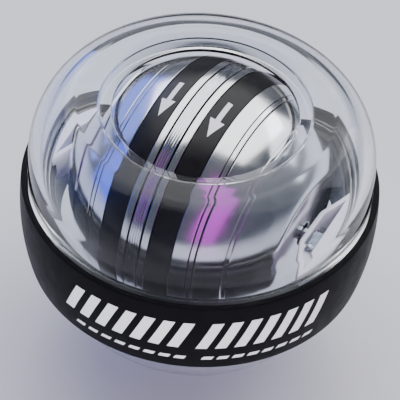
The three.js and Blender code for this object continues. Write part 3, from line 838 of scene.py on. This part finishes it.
def crescent():
    """A boss: round outside, with a straight inner wall, slanted ends and softened edges."""
    tip = asin(BOSS_HALF_SPAN / BOSS_OUTER)
    turns = [-tip + 2 * tip * i / BOSS_STEPS for i in range(BOSS_STEPS + 1)]
    outline = [(BOSS_OUTER * cos(a), BOSS_OUTER * sin(a)) for a in turns]
    outline += [(BOSS_INNER, BOSS_FLAT_HALF), (BOSS_INNER, -BOSS_FLAT_HALF)]
    bm = plate(outline, -BOSS_HALF, BOSS_HALF)
    rims = [edge for edge in bm.edges if edge.calc_face_angle() > BOSS_SHARP]
    bmesh.ops.bevel(bm, geom=rims, offset=BOSS_ROUNDING, offset_type="OFFSET", segments=BOSS_ROUNDING_STEPS,
                    profile=0.5, affect="EDGES", clamp_overlap=True)
    return bm


def pocket_half(reach):
    """Half the length of a boss's pocket at a place along the axle."""
    slant = (BOSS_HALF_SPAN - BOSS_FLAT_HALF) / (sqrt(BOSS_OUTER**2 - BOSS_HALF_SPAN**2) - BOSS_INNER)
    return BOSS_FLAT_HALF + slant * (reach - BOSS_INNER) - BOSS_WALL * hypot(1, slant)


def guide_ring():
    """The ring: white acetal bosses, and the ring that runs in the race coloured near-black as painted shade.

    The right boss's pocket keeps a pad under the leaf pawl; the left one's goes through. A slot at each end
    of the axle lets its tips out to the race. Every cutter stands MM past what it cuts.
    """
    half = SHAFT_PASSAGE
    outline = rounded([
        (RING_INNER, -RING_HALF, RING_ROUNDING),
        (RING_OUTER, -RING_HALF, RING_ROUNDING),
        (RING_OUTER, RING_HALF, RING_ROUNDING),
        (RING_INNER, RING_HALF, RING_ROUNDING),
    ])
    through = BOSS_HALF + MM
    inner, outer = pocket_half(POCKET_INNER), pocket_half(POCKET_OUTER)
    pocket = [(POCKET_INNER, -inner), (POCKET_OUTER, -outer), (POCKET_OUTER, outer), (POCKET_INNER, inner)]
    past_pad = [(POCKET_INNER, -PAD_EDGE), (POCKET_OUTER, -PAD_EDGE), pocket[2], pocket[3]]
    start, end = BOSS_OUTER - SLOT_OVERLAP, RING_OUTER + MM
    slot_outline = [(start, -half), (end, -half), (end, half), (start, half)]
    mesh = bpy.data.meshes.new("guide_ring_acetal")
    bm = spun(outline, SHELL_STEPS)
    bm.to_mesh(mesh)
    bm.free()
    ring = bpy.data.objects.new("guide_ring_acetal", mesh)
    bpy.context.scene.collection.objects.link(ring)
    for turn in (0, pi):
        boolean(ring, crescent(), "UNION", turn)
    boolean(ring, plate(past_pad, -through, through), "DIFFERENCE")
    boolean(ring, plate(pocket, PAD_TOP, through), "DIFFERENCE")
    boolean(ring, plate(pocket, -through, through), "DIFFERENCE", pi)
    for turn in (0, pi):
        boolean(ring, rod(BUSH_SEAT, POCKET_OUTER - MM, BOSS_OUTER + MM), "DIFFERENCE", turn)
        boolean(ring, rod(SHAFT_PASSAGE, BOSS_INNER - MM, POCKET_INNER + MM), "DIFFERENCE", turn)
        boolean(ring, plate(slot_outline, -half, half), "DIFFERENCE", turn)
    boolean(ring, rivet_hole(), "DIFFERENCE")
    bm = bmesh.new()
    bm.from_mesh(ring.data)
    bpy.data.objects.remove(ring)
    bmesh.ops.transform(bm, matrix=AXLE, verts=bm.verts)
    bmesh.ops.remove_doubles(bm, verts=bm.verts, dist=MERGE_DISTANCE)
    # Faces of the ring that runs in the race get the near-black colour, painted shade; the bosses keep the
    # white.
    for face in bm.faces:
        x, y, z = face.calc_center_median()
        outside = hypot(x, y) > RING_INNER - FACE_SLACK
        face.material_index = int(outside and abs(z - RING_PLANE) < RING_HALF + FACE_SLACK)
    piece = finish_piece("guide_ring_acetal_white", bm, ACETAL, "carrier", ["guide_ring"],
                         RING_SHARP)
    piece.data.materials.append(RING_SHADE_ACETAL)


# Shaft and the small turned pieces on it.

SMALL_STEPS = 48
SHAFT_RADIUS = 1.5 * MM
TIP_RADIUS = 1.3 * MM
SHAFT_REACH = 32.6 * MM
NECK = 31 * MM
TIP_ROUNDING = 0.3 * MM
SLEEVE_EDGE = 0.12 * MM
BUSH_OUTER = 2.5 * MM
COLLAR_INNER = 1.6 * MM
COLLAR_OUTER = 2.8 * MM
COLLAR_GAP = 0.4 * MM


def rotor_shaft():
    """The axle, with a narrower tip at each end that runs in the race."""
    outline = rounded([
        (0, -SHAFT_REACH),
        (TIP_RADIUS, -SHAFT_REACH, TIP_ROUNDING),
        (TIP_RADIUS, -NECK),
        (SHAFT_RADIUS, -NECK),
        (SHAFT_RADIUS, NECK),
        (TIP_RADIUS, NECK),
        (TIP_RADIUS, SHAFT_REACH, TIP_ROUNDING),
        (0, SHAFT_REACH),
    ], closed=False)
    bm = spun(outline, SMALL_STEPS, ON_AXLE)
    finish_piece("rotor_shaft_steel", bm, STEEL, "axle", ["rotor_shaft"])


def sleeve(name, node, body, inner, outer, start, end, material, slot):
    """A plain sleeve on the axle with broken edges."""
    corners = ((inner, start), (outer, start), (outer, end), (inner, end))
    outline = rounded([(*corner, SLEEVE_EDGE) for corner in corners])
    bm = spun(outline, SMALL_STEPS, ON_AXLE)
    finish_piece(name, bm, material, body, [node])


def small_turned_pieces():
    """The two bushes in the bosses and the collar in the left one."""
    start, end = POCKET_OUTER + FIT_GAP, BOSS_OUTER - FIT_GAP
    bush = (SHAFT_PASSAGE, BUSH_OUTER, start, end)
    mirror_bush = (SHAFT_PASSAGE, BUSH_OUTER, -end, -start)
    sleeve("shaft_bush_right_bronze", "shaft_bush_right", "carrier", *bush, BRONZE, "bronze")
    sleeve("shaft_bush_left_bronze", "shaft_bush_left", "carrier", *mirror_bush, BRONZE, "bronze")
    collar = (COLLAR_INNER, COLLAR_OUTER, -POCKET_OUTER + COLLAR_GAP, -POCKET_INNER - COLLAR_GAP)
    sleeve("shaft_collar_steel", "shaft_collar", "axle", *collar, STEEL, "steel")


# Pieces that keep their CAD shape, with the finish of the real ones.

KEPT = {
    "pawl_spring": SPRING_STEEL,
    "pawl_rivet": STEEL,
    "ratchet_wheel": STEEL,
    "spring_arbor": STEEL,
    "spiral_spring": SPRING_STEEL,
    "spring_drum": STEEL,
    "drum_lid": STEEL,
    "spring_post": STEEL,
    "rotor_bush_left": BRONZE,
    "rotor_bush_right": BRONZE,
    "rotor_screw_1": STEEL,
    "rotor_screw_2": STEEL,
    "rotor_screw_3": STEEL,
    "rotor_screw_4": STEEL,
}


def kept_nodes():
    """Gives each of them its finish and leaves its shape alone."""
    for name, material in KEPT.items():
        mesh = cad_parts[name].data
        mesh.materials.clear()
        mesh.materials.append(material)


# Studio and camera.

PHOTO_SIDE = 400
CAMERA_DISTANCE = 0.45
CAMERA_ELEVATION = radians(45)
CAMERA_ROLL = radians(4.3)
PIXELS_PER_MM = 4.97
CENTRE_PIXEL = (199.4, 195.0)
SENSOR_WIDTH = 36
CLIP_START = 0.01
WORLD_COLOUR = "#AEB6C8"
WORLD_STRENGTH = 0.22
FLOOR_HALF = 3
FLOOR_GRAIN = 40


def camera():
    """The photograph's view: the ball's centre falls on CENTRE_PIXEL at PIXELS_PER_MM."""
    right = Vector((1, 0, 0))
    up = Vector((0, sin(CAMERA_ELEVATION), cos(CAMERA_ELEVATION)))
    back = right.cross(up)
    image_right = right * cos(CAMERA_ROLL) + up * sin(CAMERA_ROLL)
    image_up = up * cos(CAMERA_ROLL) - right * sin(CAMERA_ROLL)
    middle = PHOTO_SIDE / 2
    aside = (middle - CENTRE_PIXEL[0]) / PIXELS_PER_MM * MM
    above = (CENTRE_PIXEL[1] - middle) / PIXELS_PER_MM * MM
    place = Vector((0, 0, BALL_CENTRE)) + back * CAMERA_DISTANCE + image_right * aside + image_up * above
    data = bpy.data.cameras.new("camera")
    data.sensor_width = SENSOR_WIDTH
    data.lens = PIXELS_PER_MM / MM * CAMERA_DISTANCE / PHOTO_SIDE * data.sensor_width
    data.clip_start = CLIP_START
    view = bpy.data.objects.new("camera", data)
    bpy.context.scene.collection.objects.link(view)
    axes = Matrix((image_right, image_up, back)).transposed()
    view.matrix_world = Matrix.Translation(place) @ axes.to_4x4()
    bpy.context.scene.camera = view


def area_light(name, place, size, power, colour, spread=180, mirrored_in_ball=True, lean=0):
    """A panel that faces the ball, with its top leaning to the camera's right by lean degrees.

    Place and size are in metres, power in watts. A narrow spread, in degrees, fades its reflection towards
    the edges.
    """
    data = bpy.data.lights.new(name, "AREA")
    data.shape = "RECTANGLE"
    data.size, data.size_y = size
    data.energy = power
    data.color = linear(colour)[:3]
    data.spread = radians(spread)
    light = bpy.data.objects.new(name, data)
    light.visible_camera = False
    light.visible_glossy = mirrored_in_ball
    light.visible_transmission = mirrored_in_ball
    light.location = place
    facing = (Vector((0, 0, RING_PLANE)) - Vector(place)).to_track_quat("-Z", "Y")
    light.rotation_euler = (facing @ Quaternion((0, 0, 1), radians(-lean))).to_euler()
    bpy.context.scene.collection.objects.link(light)


def floor():
    """Pale satin laminate: a faint broad reflection."""
    material, tree, shader, at = blank("pale_satin_laminate")
    tint(tree, shader, grain(tree, at, FLOOR_GRAIN), "#D9DBDF", "#E2E4E8")
    shader.inputs["Roughness"].default_value = 0.32
    bm = bmesh.new()
    bmesh.ops.create_grid(bm, x_segments=1, y_segments=1, size=FLOOR_HALF)
    mesh = bpy.data.meshes.new("floor")
    bm.to_mesh(mesh)
    bm.free()
    mesh.materials.append(material)
    stage = bpy.data.objects.new("floor", mesh)
    bpy.context.scene.collection.objects.link(stage)


def studio():
    """White panels overhead and on the right, blue ones on the left, violet and low white ones in front."""
    world = bpy.data.worlds.new("studio")
    world.use_nodes = True
    background = world.node_tree.nodes["Background"]
    background.inputs["Color"].default_value = linear(WORLD_COLOUR)
    background.inputs["Strength"].default_value = WORLD_STRENGTH
    bpy.context.scene.world = world
    area_light("overhead_panel", place=(0.06, 0.24, 0.52), size=(1.0, 0.8), power=6.2, colour="#FFFFFF")
    area_light("left_panel", place=(-0.55, 0.5, 0.33), size=(0.8, 0.6), power=1.9, colour="#7A90FF")
    area_light("right_panel", place=(0.62, 0.3, 0.33), size=(0.5, 0.4), power=1.2, colour="#F4F6FF")
    area_light("violet_panel", place=(0.15, -0.62, 0.33), size=(0.26, 0.78), power=0.28, colour="#EC00EC",
               spread=120, lean=24)
    area_light("blue_panel", place=(-0.6, -0.06, 0.14), size=(0.32, 0.34), power=0.2, colour="#3A60FF",
               spread=120)
    area_light("low_panel", place=(-0.05, -0.5, 0.1), size=(0.5, 0.1), power=1.0, colour="#FFFFFF",
               spread=100, mirrored_in_ball=False)


upper_shell()
lower_shell()
grip_band()
band_print()
for half, word in ((-1, "left"), (1, "right")):
    rotor_half(half, word)
    tread_band(half, word)
    trim_ring(half, word)
    side_cap(half, word)
    arrows(half, word)
centre_ring()
guide_ring()
rotor_shaft()
small_turned_pieces()
kept_nodes()
floor()
studio()
camera()
